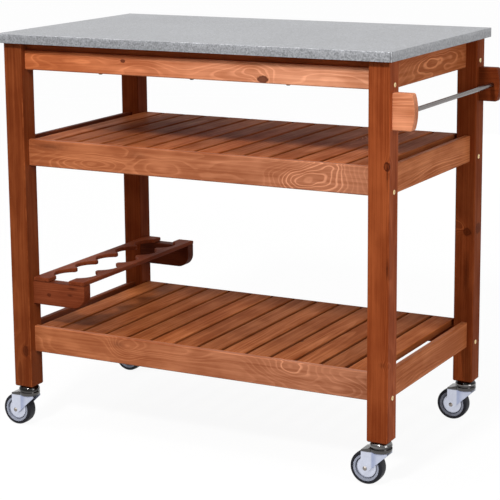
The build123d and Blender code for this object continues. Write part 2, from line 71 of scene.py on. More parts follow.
# Slats lie side by side: their pitch and their width
SLAT_PITCH = 0.061
SLAT_WIDTH = 0.052

# A rear rail's lip: its gap to the slats' ends, its drop below their tops and how its edges are eased
SLAT_END_GAP = 0.0003
LIP_DROP = 0.001
LIP_EASING = 0.0008

# Vertices nearer than this are one, and edges blunter than this look smooth
MERGE_DISTANCE = 1e-5
SMOOTH_ANGLE = math.radians(35)

BACKGROUND_TONE = 0.985


# Measuring the frame

def middle(node):
    """The centre of a node's box."""
    low, high = (Vector(corner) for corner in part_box(node))
    return (low + high) / 2


def size(node):
    """The lengths of a node's box along X, Y and Z."""
    low, high = (Vector(corner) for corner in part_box(node))
    return high - low


def ends(points):
    """The low and the high corner of the box round some points."""
    low = Vector([min(point[axis] for point in points) for axis in range(3)])
    high = Vector([max(point[axis] for point in points) for axis in range(3)])
    return low, high


def solids(node):
    """The corner points of each separate solid in a node."""
    bpy.ops.object.select_all(action="DESELECT")
    copy = NODES[node].copy()
    copy.data = NODES[node].data.copy()
    copy.parent = None
    bpy.context.scene.collection.objects.link(copy)
    copy.select_set(True)
    bpy.context.view_layer.objects.active = copy
    bpy.ops.object.mode_set(mode="EDIT")
    bpy.ops.mesh.select_all(action="SELECT")
    bpy.ops.mesh.remove_doubles(threshold=MERGE_DISTANCE)
    bpy.ops.mesh.separate(type="LOOSE")
    bpy.ops.object.mode_set(mode="OBJECT")
    found = list(bpy.context.selected_objects)
    points = [[Vector(vertex.co) for vertex in thing.data.vertices] for thing in found]
    for thing in found:
        bpy.data.objects.remove(thing)
    return points


def linear(hex_colour):
    """A colour written as in a paint chart, RRGGBB, as the linear values that a shader takes."""
    values = []
    for start in (0, 2, 4):
        value = int(hex_colour[start:start + 2], 16) / 255
        values.append(value / 12.92 if value <= 0.04045 else ((value + 0.055) / 1.055) ** 2.4)
    return (*values, 1.0)


# Settings

def colour_setting(name, description, hex_colour):
    """A colour that a user can change."""
    return FloatVectorProperty(
        name=name,
        description=description,
        subtype="COLOR",
        size=4,
        min=0,
        max=1,
        default=linear(hex_colour),
    )


def length_setting(name, description, metres):
    """A length that a user can change."""
    return FloatProperty(name=name, description=description, unit="LENGTH", default=metres, precision=4)


class CartTimber(bpy.types.PropertyGroup):
    """Stains and ring width of the softwood; some of the colours also hold painted light, shade and sheen."""

    post: colour_setting("Front right post", "Stain of the front post on the right", "88401E")
    post_left: colour_setting("Front left post", "Deeper stain of the front post on the left", "773819")
    # Painted shade: darker than the front posts' colour, for the shade at the back under the top; it goes on
    # the rear left post and the shelves' rear rails
    post_rear_shaded: colour_setting("Rear posts", "Deeper stain of the two rear posts", "702F12")
    front: colour_setting("Top rail", "Stain of the front rail under the top", "B86438")
    # Painted sheen: the top rail's colour is lighter at its right end, partly a stain that took less well and
    # partly a painted sheen of the light
    front_fade_and_sheen: colour_setting("Top rail, faded", "The same stain where it took less well", "D08B67")
    shelf: colour_setting("Shelf rails", "Stain of the shelves' front rails", "A65F39")
    # Painted sheen: the shelf rails' colour is paler at their right ends as a painted sheen of the light
    shelf_painted_sheen: colour_setting("Shelf rails, faded", "The same stain where it took less well", "A56647")
    side: colour_setting("Side rails", "Stain of the apron and rails on the right", "B2673D")
    # Painted shade: the left rails show their inner faces, which lie in shade, and this darker colour stands
    # for it
    side_left_shaded: colour_setting("Left rails", "Deeper stain of the apron and rails on the left", "6A3016")
    # Painted light and shade: the upper slats get a lighter colour and the lower slats a darker one, for how
    # the light falls on the two shelves
    slat_upper_painted_light: colour_setting("Upper slats", "Stain of the middle shelf's slats", "A45B33")
    slat_lower_painted_shade: colour_setting("Lower slats", "Stain of the lower shelf's slats", "94522C")
    rack: colour_setting("Bottle rack", "Stain of the bottle rack", "74361D")
    rack_rear: colour_setting("Rear rack bracket", "Deeper stain of the rack's rear bracket", "4E1E0A")
    handle: colour_setting("Towel bracket", "Stain of the towel bar's front bracket", "C97F59")
    handle_rear: colour_setting("Rear towel bracket", "Deeper stain of the rear bracket", "6A2D11")
    ring_spacing: length_setting("Ring spacing", "Growth of the trunk in one year", 0.0046)


class CartMetal(bpy.types.PropertyGroup):
    """Colours and sizes of the metal finishes, with the painted shade and reflections on the casters."""

    sheet: colour_setting("Sheet", "Galvanised steel of the top", "97989B")
    zinc: colour_setting("Zinc plate", "Bright zinc of the casters", "CACEDC")
    # Painted shade: this bluish darker zinc goes just behind each fork leg's bend
    bend: colour_setting("Bent zinc", "Bluish zinc behind the bend of each fork leg", "A2AAC4")
    # Painted reflection: the crowns' darker colour stands for the dark wood they mirror
    crown: colour_setting("Crown", "Polished steel of the forks' crowns", "545251")
    rivet: colour_setting("Rivet", "Dull steel of the wheel axles", "8C857F")
    # Painted reflection: this steel is darker for the dark wood that the sockets and stems mirror
    steel: colour_setting("Steel", "Darker steel of the caster sockets and stems", "7E7C7B")
    bar: colour_setting("Bar", "Drawn steel of the towel bar", "6E6866")
    gold: colour_setting("Yellow zinc", "Plating of the wood screws", "E4C894")
    black: colour_setting("Black", "Finish of the screws under the top", "2A2728")
    spangle: length_setting("Spangle", "Width of one zinc crystal on the sheet", 0.003)


class CartScrews(bpy.types.PropertyGroup):
    """Sizes of the turned screws."""

    shank: length_setting("Shank", "Radius of a frame screw's shank", 0.0025)
    head: length_setting("Head", "Radius of a frame screw's head", 0.0052)
    dome: length_setting("Dome", "How far a frame screw's head stands proud", 0.0012)
    sink: length_setting("Sink", "How deep a frame screw's head is sunk", 0.0026)
    pitch: length_setting("Pitch", "Length of one turn of thread", 0.003)


class CartWheel(bpy.types.PropertyGroup):
    """Colours of the wheels, and the radius of the painted shadow round each cap."""

    tyre: colour_setting("Tyre", "Black rubber of the tread", "14141B")
    hub: colour_setting("Hub", "Grey moulded plastic of the hub", "9498A6")
    # Painted shadow: a dark ring on the hub round its cap, for the shade in the gap between them
    painted_gap_shadow: length_setting("Groove", "Radius of the dark groove in the hub round its cap", 0.0246)


class CartStage(bpy.types.PropertyGroup):
    """The floor, the light and the camera."""

    eye: FloatVectorProperty(
        name="Eye",
        description="Place of the camera",
        subtype="TRANSLATION",
        unit="LENGTH",
        size=3,
        default=(1.8664, -3.4884, 1.3075),
    )
    turn: FloatProperty(
        name="Turn",
        description="How far the camera looks to the left of straight ahead",
        subtype="ANGLE",
        default=math.radians(28.06),
    )
    dip: FloatProperty(
        name="Dip",
        description="How far the camera looks down",
        subtype="ANGLE",
        default=math.radians(11.0),
    )
    roll: FloatProperty(
        name="Roll",
        description="Tilt of the camera about its own line of sight",
        subtype="ANGLE",
        default=math.radians(-0.448),
    )
    focal_length: FloatProperty(
        name="Focal length",
        description="Focal length on a sensor 36 mm wide",
        default=124.99,
    )
    rise: FloatProperty(
        name="Rise",
        description="Vertical shift of the lens, as a share of the picture",
        default=-0.1,
    )
    key: FloatProperty(
        name="Key light",
        description="What the lamp in front gives a surface that faces it, where 1 is white",
        default=0.76,
    )
    right: FloatProperty(
        name="Right light",
        description="What the lamp on the right gives a surface that faces it, where 1 is white",
        default=0.3,
    )
    left: FloatProperty(
        name="Left light",
        description="What the lamp on the left gives a surface that faces it, where 1 is white",
        default=0.18,
    )
    back: FloatProperty(
        name="Back light",
        description="What the lamp behind gives a surface that faces it, where 1 is white",
        default=0.24,
    )
    horizon: FloatProperty(
        name="Horizon",
        description="Strength of the soft light that comes in level",
        default=0.12,
    )
    zenith: FloatProperty(
        name="Zenith",
        description="Strength of the soft light from straight above",
        default=0.8,
    )


class CartSettings(bpy.types.PropertyGroup):
    """All that a user would change."""

    timber: PointerProperty(type=CartTimber)
    metal: PointerProperty(type=CartMetal)
    screws: PointerProperty(type=CartScrews)
    wheel: PointerProperty(type=CartWheel)
    stage: PointerProperty(type=CartStage)


# Wiring materials

class Shader:
    """A material or node group that is wired up step by step."""

    def __init__(self, tree):
        self.tree = tree

    def add(self, kind, **settings):
        node = self.tree.nodes.new(kind)
        for name, value in settings.items():
            setattr(node, name, value)
        return node

    def feed(self, socket, value):
        """Gives a socket a wire or a number."""
        if isinstance(value, bpy.types.NodeSocket):
            self.tree.links.new(value, socket)
        elif value is not None:
            socket.default_value = value

    def maths(self, operation, first, second=None, third=None):
        node = self.add("ShaderNodeMath", operation=operation)
        for socket, value in zip(node.inputs, (first, second, third)):
            self.feed(socket, value)
        return node.outputs[0]

    def total(self, *values):
        """The sum of several wires or numbers."""
        result = values[0]
        for value in values[1:]:
            result = self.maths("ADD", result, value)
        return result

    def product(self, *values):
        """Several wires or numbers multiplied."""
        result = values[0]
        for value in values[1:]:
            result = self.maths("MULTIPLY", result, value)
        return result

    def vector(self, operation, first, second=None, scale=None):
        node = self.add("ShaderNodeVectorMath", operation=operation)
        self.feed(node.inputs[0], first)
        self.feed(node.inputs[1], second)
        self.feed(node.inputs[3], scale)
        return node.outputs[1] if operation == "LENGTH" else node.outputs[0]

    def parts(self, vector):
        node = self.add("ShaderNodeSeparateXYZ")
        self.feed(node.inputs[0], vector)
        return node.outputs

    def join(self, x, y, z):
        node = self.add("ShaderNodeCombineXYZ")
        for socket, value in zip(node.inputs, (x, y, z)):
            self.feed(socket, value)
        return node.outputs[0]

    def noise(self, vector, scale, detail=2.0, roughness=0.5, colour=False):
        node = self.add("ShaderNodeTexNoise")
        self.feed(node.inputs["Vector"], vector)
        self.feed(node.inputs["Scale"], scale)
        self.feed(node.inputs["Detail"], detail)
        self.feed(node.inputs["Roughness"], roughness)
        return node.outputs["Color" if colour else "Fac"]

    def stretch(self, vector, scale, location=(0, 0, 0), rotation=(0, 0, 0)):
        node = self.add("ShaderNodeMapping")
        self.feed(node.inputs["Vector"], vector)
        self.feed(node.inputs["Location"], location)
        self.feed(node.inputs["Rotation"], rotation)
        self.feed(node.inputs["Scale"], scale)
        return node.outputs[0]

    def spread(self, value, low, high, to_low=0.0, to_high=1.0, smooth=True):
        """Spreads low to high over another range."""
        node = self.add("ShaderNodeMapRange", interpolation_type="SMOOTHSTEP" if smooth else "LINEAR")
        for socket, number in zip(node.inputs, (value, low, high, to_low, to_high)):
            self.feed(socket, number)
        return node.outputs[0]

    def mix(self, share, first, second, blend="MIX"):
        node = self.add("ShaderNodeMix", data_type="RGBA", blend_type=blend)
        self.feed(node.inputs[0], share)
        self.feed(node.inputs[6], first)
        self.feed(node.inputs[7], second)
        return node.outputs[2]

    def shade(self, colour, value):
        """A colour made lighter or darker."""
        return self.mix(1.0, colour, self.join(value, value, value), blend="MULTIPLY")

    def bump(self, height, distance, strength=1.0):
        node = self.add("ShaderNodeBump")
        self.feed(node.inputs["Height"], height)
        self.feed(node.inputs["Distance"], distance)
        self.feed(node.inputs["Strength"], strength)
        return node.outputs[0]

    def group(self, name, **values):
        """A node group with its inputs fed; a space in an input's name is written as an underscore."""
        node = self.add("ShaderNodeGroup")
        node.node_tree = bpy.data.node_groups[name]
        for key, value in values.items():
            self.feed(node.inputs[key.replace("_", " ")], value)
        return node.outputs


def new_group(name, inputs, outputs):
    """An empty node group with its shader, what it is given and where its results go."""
    group = bpy.data.node_groups.new(name, "ShaderNodeTree")
    for sockets, direction in ((inputs, "INPUT"), (outputs, "OUTPUT")):
        for socket, kind in sockets:
            group.interface.new_socket(socket, in_out=direction, socket_type=f"NodeSocket{kind}")
    shader = Shader(group)
    return shader, shader.add("NodeGroupInput").outputs, shader.add("NodeGroupOutput").inputs


def new_material(name):
    """An empty material with its shader, and the Object coordinates."""
    material = bpy.data.materials.new(name)
    material.use_nodes = True
    shader = Shader(material.node_tree)
    surface = material.node_tree.nodes["Principled BSDF"]
    place = shader.add("ShaderNodeTexCoord").outputs["Object"]
    return material, shader, surface, place


def dress(objects, material):
    """Gives objects one material."""
    for thing in objects:
        thing.data.materials.clear()
        thing.data.materials.append(material)


# Stained softwood

# A mark in the wood, placed from the middle of its piece. Reach is its half size along X, Y and Z, push is
# how far it drives the rings apart, heart how dark its middle is, near how much clearer it makes the rings
# round it, and blur turns a knot with an edge into a soft smudge.
Knot = namedtuple("Knot", "place reach push heart near blur", defaults=(0.0, 0.0, 0.0, 0.0))

KNOTS = {
    "top_rail_front": (
        Knot((0.179, -0.012, -0.0138), (0.010, 0.010, 0.0062), 0.012, 1.7, 0.6),
        Knot((-0.168, -0.012, 0.0094), (0.0045, 0.004, 0.003), 0.004, 1.7, 0.3),
        Knot((0.163, -0.012, 0.008), (0.034, 0.030, 0.011), 0.020, 0.0, 0.6),
        Knot((0.337, -0.012, -0.001), (0.050, 0.030, 0.009), 0.014, 0.0, 0.3),
        Knot((-0.382, -0.012, 0.0086), (0.034, 0.030, 0.009), 0.014, 0.0, 0.5),
        Knot((-0.280, -0.012, 0.0065), (0.040, 0.030, 0.010), 0.017, 0.0, 0.5),
        Knot((-0.124, -0.012, -0.004), (0.040, 0.030, 0.010), 0.015, 0.0, 0.4),
        Knot((0.089, -0.012, -0.0025), (0.040, 0.030, 0.010), 0.014, 0.0, 0.4),
    ),
    "middle_rail_front": (
        Knot((0.322, -0.0075, -0.002), (0.048, 0.050, 0.024), 0.050, 0.0, 0.8),
        Knot((0.240, -0.0075, -0.010), (0.032, 0.050, 0.015), 0.024, 0.0, 0.8),
        Knot((0.3415, -0.0075, 0.026), (0.022, 0.030, 0.008), 0.012, 0.0, 0.9),
        Knot((-0.242, -0.0075, -0.011), (0.034, 0.040, 0.011), 0.021, 0.0, 0.9),
        Knot((-0.310, -0.0075, -0.015), (0.045, 0.040, 0.009), 0.015, 0.0, 0.8),
        Knot((-0.080, -0.0075, -0.010), (0.050, 0.040, 0.012), 0.022, 0.0, 0.7),
        Knot((-0.372, -0.0075, 0.0175), (0.034, 0.020, 0.006), 0.004, 0.6, 0.3, 1.0),
        Knot((-0.139, -0.0075, 0.014), (0.020, 0.020, 0.008), 0.006, 0.3, 0.5, 1.0),
        Knot((0.110, -0.0075, 0.006), (0.070, 0.040, 0.014), 0.018, 0.0, 0.4),
    ),
    "lower_rail_front": (
        Knot((-0.176, -0.0075, 0.010), (0.026, 0.030, 0.015), 0.028, 0.0, 0.9),
        Knot((-0.200, -0.0075, 0.014), (0.014, 0.020, 0.006), 0.004, 0.4, 0.4, 1.0),
        Knot((-0.062, -0.0075, 0.015), (0.055, 0.040, 0.010), 0.018, 0.0, 0.6),
        Knot((0.240, -0.0075, 0.014), (0.042, 0.040, 0.018), 0.034, 0.0, 0.8),
        Knot((0.358, -0.0075, -0.012), (0.042, 0.040, 0.014), 0.026, 0.0, 0.9),
        Knot((-0.330, -0.0075, -0.006), (0.060, 0.040, 0.012), 0.018, 0.0, 0.4),
    ),
    "apron_right": (
        Knot((0.010, -0.020, 0.003), (0.020, 0.070, 0.015), 0.028, 0.0, 0.8),
        Knot((0.010, 0.150, 0.010), (0.020, 0.060, 0.012), 0.018, 0.0, 0.5),
    ),
    "middle_rail_right": (Knot((0.0075, 0.045, -0.004), (0.020, 0.080, 0.014), 0.012, 0.0, 0.3),),
    "lower_rail_right": (Knot((0.0075, -0.060, 0.004), (0.020, 0.090, 0.014), 0.014, 0.0, 0.3),),
    "post_front_left": (
        Knot((0.010, -0.024, -0.3179), (0.006, 0.012, 0.010), 0.008, 0.9, 0.4, 0.4),
        Knot((-0.007, -0.024, -0.376), (0.008, 0.012, 0.045), 0.010, 0.3, 0.5, 1.0),
    ),
    "post_front_right": (
        Knot((0.0186, -0.024, 0.1886), (0.0052, 0.010, 0.0075), 0.008, 1.0, 0.3),
        Knot((0.0201, -0.024, 0.171), (0.0016, 0.010, 0.020), 0.002, 0.8, 0.0, 1.0),
        Knot((0.0212, -0.024, -0.0272), (0.0020, 0.010, 0.016), 0.002, 0.9, 0.2, 1.0),
        Knot((0.0125, -0.024, -0.2344), (0.007, 0.010, 0.005), 0.005, 0.45, 0.3, 1.0),
    ),
    "post_rear_right": (
        Knot((0.0065, -0.024, -0.044), (0.008, 0.014, 0.008), 0.016, 1.0, 0.5, 0.4),
        Knot((-0.006, -0.024, -0.0284), (0.012, 0.014, 0.010), 0.020, 0.0, 0.8),
        Knot((0.024, 0.001, -0.0375), (0.008, 0.012, 0.010), 0.010, 0.9, 0.5, 0.5),
        Knot((0.0058, -0.024, -0.1465), (0.006, 0.014, 0.040), 0.006, 0.6, 0.2, 1.0),
    ),
    "rack_bracket_front": (
        Knot((-0.0273, -0.014, -0.0024), (0.0045, 0.006, 0.0032), 0.003, 0.9, 0.2, 0.4),
        Knot((0.0314, -0.014, 0.0029), (0.0060, 0.006, 0.0026), 0.002, 0.7, 0.1, 0.8),
        Knot((0.0374, -0.014, 0.019), (0.0110, 0.006, 0.0026), 0.002, 0.8, 0.1, 0.9),
        # A thin dark band along the whole top edge of the front face
        Knot((0.0, -0.014, 0.0275), (0.090, 0.020, 0.0016), 0.0, 0.7, 0.0, 1.0),
    ),
    "lower_slats": (Knot((0.186, -0.0993, 0.0075), (0.0050, 0.0075, 0.006), 0.006, 1.4, 0.4),),
    "middle_slats": (
        Knot((0.2618, 0.0536, 0.0075), (0.012, 0.030, 0.008), 0.016, 0.0, 1.4),
        Knot((-0.3534, 0.1568, 0.0075), (0.010, 0.024, 0.008), 0.012, 0.0, 1.0),
    ),
}


def knot_group():
    """Node group of one knot: how far it pushes the rings, how dark it is, and how near it is."""
    shader, given, result = new_group(
        "knot",
        (
            ("Vector", "Vector"),
            ("Place", "Vector"),
            ("Reach", "Vector"),
            ("Push", "Float"),
            ("Heart", "Float"),
            ("Near", "Float"),
            ("Blur", "Float"),
        ),
        (("Push", "Float"), ("Heart", "Float"), ("Near", "Float")),
    )
    from_knot = shader.vector("SUBTRACT", given["Vector"], given["Place"])
    far = shader.vector("LENGTH", shader.vector("DIVIDE", from_knot, given["Reach"]))
    gentle = shader.noise(given["Vector"], 16.0, 1.0)
    rounded = shader.total(far, shader.spread(gentle, 0.3, 0.7, -0.09, 0.09))
    swell = shader.maths("EXPONENT", shader.product(rounded, rounded, -0.3))
    ragged = shader.noise(given["Vector"], 140.0, 2.0)
    far = shader.total(far, shader.spread(ragged, 0.3, 0.7, -0.14, 0.14))
    squared = shader.product(far, far)
    rim = shader.maths("EXPONENT", shader.product(shader.maths("POWER", shader.total(far, -1.0), 2.0), -14.0))
    inside = shader.spread(far, 0.75, 1.1, 0.55, 0.0)
    edged = shader.maths("MAXIMUM", rim, inside)
    soft = shader.maths("EXPONENT", shader.product(squared, -0.8))
    blurred = shader.total(
        shader.product(edged, shader.maths("SUBTRACT", 1.0, given["Blur"])),
        shader.product(soft, given["Blur"]),
    )
    shader.feed(result["Push"], shader.product(swell, given["Push"]))
    shader.feed(result["Heart"], shader.product(blurred, given["Heart"]))
    shader.feed(result["Near"], shader.product(shader.spread(far, 0.8, 3.2, 1.0, 0.0), given["Near"]))


def edge_group():
    """Node group of the long edges of a straight piece, where handling wears the stain."""
    shader, given, result = new_group(
        "worn_edge",
        (("Vector", "Vector"), ("Half", "Vector")),
        (("Edge", "Float"),),
    )
    inwards = shader.vector("SUBTRACT", given["Half"], shader.vector("ABSOLUTE", given["Vector"]))
    x, y, z = shader.parts(inwards)
    nearest = shader.maths("MINIMUM", shader.maths("MINIMUM", x, y), z)
    furthest = shader.maths("MAXIMUM", shader.maths("MAXIMUM", x, y), z)
    second = shader.maths("SUBTRACT", shader.total(x, y, z), shader.total(nearest, furthest))
    patchy = shader.spread(shader.noise(given["Vector"], 22.0, 3.0, 0.6), 0.45, 0.62)
    shader.feed(result["Edge"], shader.product(shader.spread(second, 0.0006, 0.0026, 1.0, 0.0), patchy))


def wood_group():
    """Node group of planed softwood, whose grain runs along Z: rings, fibres, stain and knots."""
    shader, given, result = new_group(
        "stained_softwood",
        (
            ("Vector", "Vector"),
            ("Pith", "Vector"),
            ("Lean", "Vector"),
            ("Seed", "Vector"),
            ("Spacing", "Float"),
            ("Push", "Float"),
            ("Heart", "Float"),
            ("Near", "Float"),
            ("Edge", "Float"),
            ("Stain", "Color"),
        ),
        (("Colour", "Color"), ("Roughness", "Float"), ("Height", "Float")),
    )
    place = given["Vector"]
    seeded = shader.vector("ADD", place, given["Seed"])

    # The rings follow the trunk, whose line leans a little to the piece and wanders
    wander = shader.noise(shader.stretch(seeded, (6, 6, 1.6)), 1.0, 2.0, 0.5, colour=True)
    wander = shader.vector("SCALE", shader.vector("SUBTRACT", wander, (0.5, 0.5, 0.5)), scale=0.035)
    wobble = shader.noise(shader.stretch(seeded, (40, 40, 7)), 1.0, 2.0, 0.5, colour=True)
    wobble = shader.vector("SCALE", shader.vector("SUBTRACT", wobble, (0.5, 0.5, 0.5)), scale=0.005)
    off = shader.vector("ADD", place, given["Pith"])
    off = shader.vector("ADD", off, shader.vector("SCALE", given["Lean"], scale=shader.parts(place)[2]))
    off = shader.vector("ADD", shader.vector("ADD", off, wander), wobble)
    radius = shader.vector("LENGTH", shader.vector("MULTIPLY", off, (1, 1, 0)))
    radius = shader.total(radius, given["Push"])
    turns = shader.maths("DIVIDE", radius, given["Spacing"])
    uneven = shader.noise(shader.join(radius, 0.3, 0.7), 90.0, 1.0)
    turns = shader.total(turns, shader.spread(uneven, 0.25, 0.75, -0.7, 0.7, smooth=False))
    part = shader.maths("FRACT", turns)

    # Each ring ends in a thin line of hard late wood, which takes less stain
    line = shader.product(shader.spread(part, 0.50, 0.82), shader.spread(part, 0.90, 1.0, 1.0, 0.0))
    strong = shader.noise(shader.join(turns, 0.1, 0.9), 0.43, 1.0)
    line = shader.product(line, shader.spread(strong, 0.35, 0.65, 0.3, 1.0))
    clear = shader.total(0.4, shader.product(given["Near"], 1.1))

    # Fibres, streaks and clouds of stain
    fibre = shader.noise(shader.stretch(seeded, (760, 760, 13)), 1.0, 3.0, 0.6)
    streak = shader.noise(shader.stretch(seeded, (190, 190, 3.4)), 1.0, 3.0, 0.55)
    band = shader.noise(shader.stretch(seeded, (48, 48, 1.6)), 1.0, 2.0, 0.5)
    cloud = shader.noise(shader.stretch(seeded, (17, 17, 9)), 1.0, 3.0, 0.55)
    share = shader.total(
        0.30,
        shader.product(line, clear),
        shader.spread(fibre, 0.25, 0.75, -0.13, 0.13),
        shader.spread(streak, 0.25, 0.75, -0.24, 0.24),
        shader.spread(band, 0.25, 0.75, -0.18, 0.18),
        shader.spread(cloud, 0.25, 0.75, -0.3, 0.3),
        given["Edge"],
    )
    share = shader.maths("MINIMUM", shader.maths("MAXIMUM", share, 0.0), 1.7)
    tint = shader.mix(shader.product(share, 1 / 1.7), (0.72, 0.63, 0.56, 1), (1.67, 2.0, 2.3, 1))
    colour = shader.mix(1.0, given["Stain"], tint, blend="MULTIPLY")
    heart = shader.maths("MINIMUM", given["Heart"], 1.0)
    deep = shader.mix(1.0, given["Stain"], (0.22, 0.16, 0.15, 1), blend="MULTIPLY")
    colour = shader.mix(heart, colour, deep)

    height = shader.total(
        shader.product(line, 0.5),
        shader.product(fibre, 0.7),
        shader.product(streak, 0.4),
        shader.product(heart, -0.4),
    )
    shader.feed(result["Colour"], colour)
    shader.feed(result["Roughness"], shader.spread(share, 0.0, 1.0, 0.58, 0.46, smooth=False))
    shader.feed(result["Height"], height)


ALONG = {
    "x": (0.0, math.radians(-90), 0.0),
    "y": (math.radians(90), 0.0, 0.0),
    "z": (0.0, 0.0, 0.0),
}


def board_by_board(shader, place, centre, first, pitch, seed):
    """For a node of many boards side by side along X: the place from the middle of the board, a random
    colour for each board."""
    number = shader.maths("SUBTRACT", shader.parts(place)[0], first)
    number = shader.maths("FLOOR", shader.maths("DIVIDE", number, pitch))
    chance = shader.add("ShaderNodeTexWhiteNoise", noise_dimensions="1D")
    shader.feed(chance.inputs["W"], shader.total(number, seed))
    across = shader.total(shader.product(number, pitch), first + pitch / 2)
    return shader.vector("SUBTRACT", place, shader.join(across, centre.y, centre.z)), chance.outputs["Color"]


def wood_material(node, grain, stain, fade_and_sheen=None, pith=(0.03, 0.045), lean=(0.01, 0.02), seed=0.0,
                  painted_side_light=1.0, gloss=0.04, worn=0.0, boards=None, piece=None):
    """Stained softwood for one node. Grain is the axis of its length, faded the colour at its high end, which
    is a painted sheen and on the top rail also a stain that took less well, pith the trunk's line across it,
    flank the painted light or shade on the faces across X, worn how pale its edges are, boards the first edge
    and the pitch of a row of boards, and piece what stands for the node."""
    timber = bpy.context.scene.cart.timber
    material, shader, surface, place = new_material(f"{node}_wood")
    centre = middle(node)
    half = size(node) / 2
    from_middle = shader.vector("SUBTRACT", place, tuple(centre))
    in_piece = from_middle
    seeds = (seed * 1.7, seed * 2.3, seed * 3.1)
    pith_place = (*pith, 0.0)
    # Towards the high end the colour goes over to faded, a painted sheen, which on the top rail is also a
    # lighter stain
    colour = tuple(stain)
    if fade_and_sheen is not None:
        along = shader.parts(from_middle)["xyz".index(grain)]
        reach = half["xyz".index(grain)]
        colour = shader.mix(shader.spread(along, -reach, reach), colour, tuple(fade_and_sheen))
    if boards:
        in_piece, chance = board_by_board(shader, place, centre, *boards, seed)
        seeds = shader.vector("SCALE", chance, scale=9.0)
        offset = shader.vector("SUBTRACT", chance, (0.5, 0.5, 0.5))
        pith_place = shader.vector("ADD", shader.vector("MULTIPLY", offset, (0.07, 0.05, 0)), pith_place)
        tone = shader.spread(shader.parts(chance)[2], 0.0, 1.0, 0.84, 1.18, smooth=False)
        colour = shader.shade(colour, tone)
        half.x = SLAT_WIDTH / 2
    # Painted light and shade: the faces across X are made lighter or darker than the rest, for how the light
    # falls on the sides
    if painted_side_light != 1.0:
        normal = shader.add("ShaderNodeTexCoord").outputs["Normal"]
        sideways = shader.maths("ABSOLUTE", shader.parts(normal)[0])
        colour = shader.shade(colour, shader.spread(sideways, 0.6, 0.9, 1.0, painted_side_light))
    push = heart = near = 0.0
    for knot in KNOTS.get(node, ()):
        mark = shader.group(
            "knot", Vector=from_middle, Place=knot.place, Reach=knot.reach, Push=knot.push, Heart=knot.heart,
            Near=knot.near, Blur=knot.blur,
        )
        push = shader.total(push, mark["Push"])
        heart = shader.total(heart, mark["Heart"])
        near = shader.maths("MAXIMUM", near, mark["Near"])
    edge = shader.group("worn_edge", Vector=in_piece, Half=tuple(half))["Edge"]
    wood = shader.group(
        "stained_softwood",
        Vector=shader.stretch(in_piece, (1, 1, 1), rotation=ALONG[grain]),
        Pith=pith_place,
        Lean=(*lean, 0.0),
        Seed=seeds,
        Spacing=timber.ring_spacing,
        Push=push,
        Heart=heart,
        Near=near,
        Edge=shader.product(edge, worn),
        Stain=colour,
    )
    shader.feed(surface.inputs["Base Color"], wood["Colour"])
    shader.feed(surface.inputs["Roughness"], wood["Roughness"])
    shader.feed(surface.inputs["Normal"], shader.bump(wood["Height"], 0.0004, 0.6))
    surface.inputs["Specular IOR Level"].default_value = gloss
    dress([piece or NODES[node]], material)


class CART_OT_dress_posts(bpy.types.Operator):
    """Stain the four posts; the rear left post's darker colour is painted shade, and the right posts' sides
    carry painted light and shade, lighter on the front post and darker on the rear one.
    """

    bl_idname = "cart.dress_posts"
    bl_label = "Dress posts"

    def execute(self, context):
        timber = context.scene.cart.timber
        # flank paints the sides of the front right post lighter and those of the rear right post darker, as
        # painted light and shade
        for name, stain, pith, lean, seed, finish in (
            ("post_front_left", timber.post_left, (0.020, 0.075), (0.003, 0.006), 3.1, {"worn": 1.3}),
            ("post_front_right", timber.post, (0.070, 0.012), (0.004, 0.002), 4.1,
             {"painted_side_light": 1.2, "worn": 0.4}),
            ("post_rear_left", timber.post_rear_shaded, (-0.07, 0.03), (0.004, 0.004), 5.1, {"gloss": 0.02}),
            ("post_rear_right", timber.post, (-0.06, 0.05), (0.005, 0.004), 6.1,
             {"painted_side_light": 0.85, "gloss": 0.02}),
        ):
            wood_material(name, "z", stain, None, pith, lean, seed, **finish)
        return {"FINISHED"}


class CART_OT_dress_rails(bpy.types.Operator):
    """Stain the rails and aprons, each with its own grain, with painted shade on the left rails and a painted
    sheen towards the right ends of the front rails.
    """

    bl_idname = "cart.dress_rails"
    bl_label = "Dress rails and aprons"

    def execute(self, context):
        timber = context.scene.cart.timber
        top = (timber.front, timber.front_fade_and_sheen)
        shelf = (timber.shelf, timber.shelf_painted_sheen)
        for name, (stain, fade_and_sheen), pith, lean, seed in (
            ("top_rail_front", top, (0.012, 0.050), (0.006, 0.010), 11.3),
            ("middle_rail_front", shelf, (0.004, 0.055), (0.008, 0.010), 12.3),
            ("lower_rail_front", shelf, (-0.006, 0.050), (0.010, 0.012), 13.3),
        ):
            wood_material(name, "x", stain, fade_and_sheen, pith, lean, seed, gloss=0.12, worn=0.2)
        wood_material("top_rail_rear", "x", timber.front, None, (0.05, -0.03), (0.01, 0.01), 21.7)
        for turn, (name, stain, pith) in enumerate((
            ("apron_right", timber.side, (0.045, 0.035)),
            ("apron_left", timber.side_left_shaded, (0.05, 0.04)),
            ("middle_rail_right", timber.side, (0.03, 0.06)),
            ("middle_rail_left", timber.side_left_shaded, (0.02, 0.06)),
            ("lower_rail_right", timber.side, (0.03, 0.055)),
            ("lower_rail_left", timber.side_left_shaded, (0.02, 0.05)),
        )):
            wood_material(name, "y", stain, None, pith, (0.02, 0.02), 31.9 + turn)
        return {"FINISHED"}


